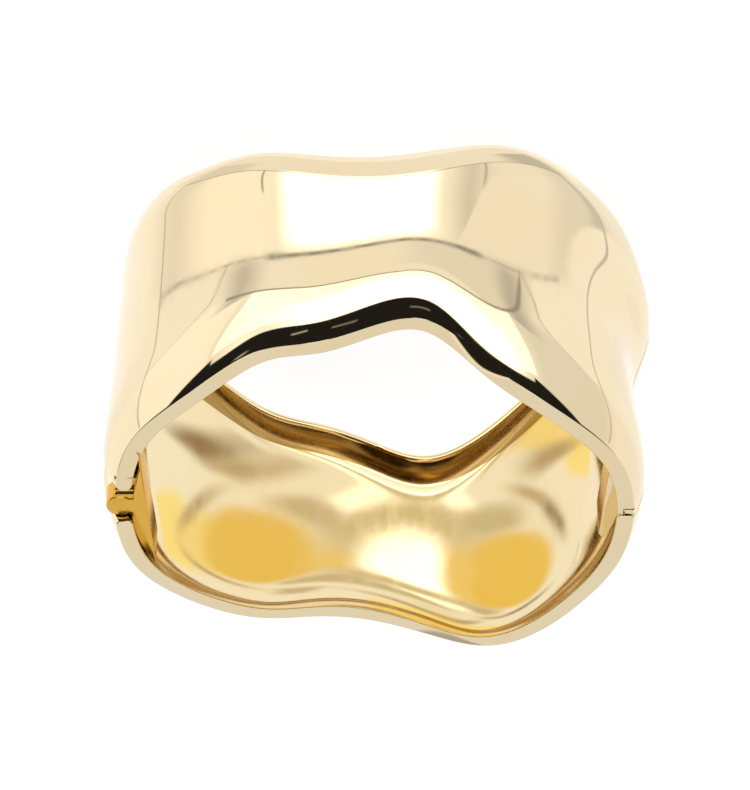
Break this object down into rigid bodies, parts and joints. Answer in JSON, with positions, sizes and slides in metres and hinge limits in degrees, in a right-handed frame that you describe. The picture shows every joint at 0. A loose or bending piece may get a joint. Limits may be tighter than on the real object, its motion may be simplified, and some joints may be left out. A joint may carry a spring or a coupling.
{
  "type": "hinged bangle",
  "caption": "Wide hinged bangle of polished gold-coloured metal with wavy rims and a softly uneven outside.",
  "frame": {"origin": "under the middle of the whole bangle, at the height of the lowest point of its back rim", "axes": "+Z runs through the wrist opening from the back rim to the front rim, +X points at the hinge, and the half that opens lies on the -Y side"},
  "size_m": [0.0666, 0.0582, 0.0419],
  "materials": {
    "polished_gold": "mirror-polished pale gold plating",
    "satin_gold": "smooth, softly bright yellower gold plating",
    "gold_plated_pin": "plain drawn steel pin, gold plated"
  },
  "bodies": {
    "lower": {"lower_half": "polished_gold", "hinge_pin": "gold_plated_pin"},
    "upper": {"upper_half": "polished_gold", "hinge_block": "satin_gold", "closure_tongue": "satin_gold"}
  },
  "joints": [
    {"name": "hinge_open", "type": "hinge", "parent": "lower", "child": "upper", "pos_m": [0.03112, 0, 0.0214], "axis": [0, 0, 1], "range_deg": [0, 45]}
  ]
}
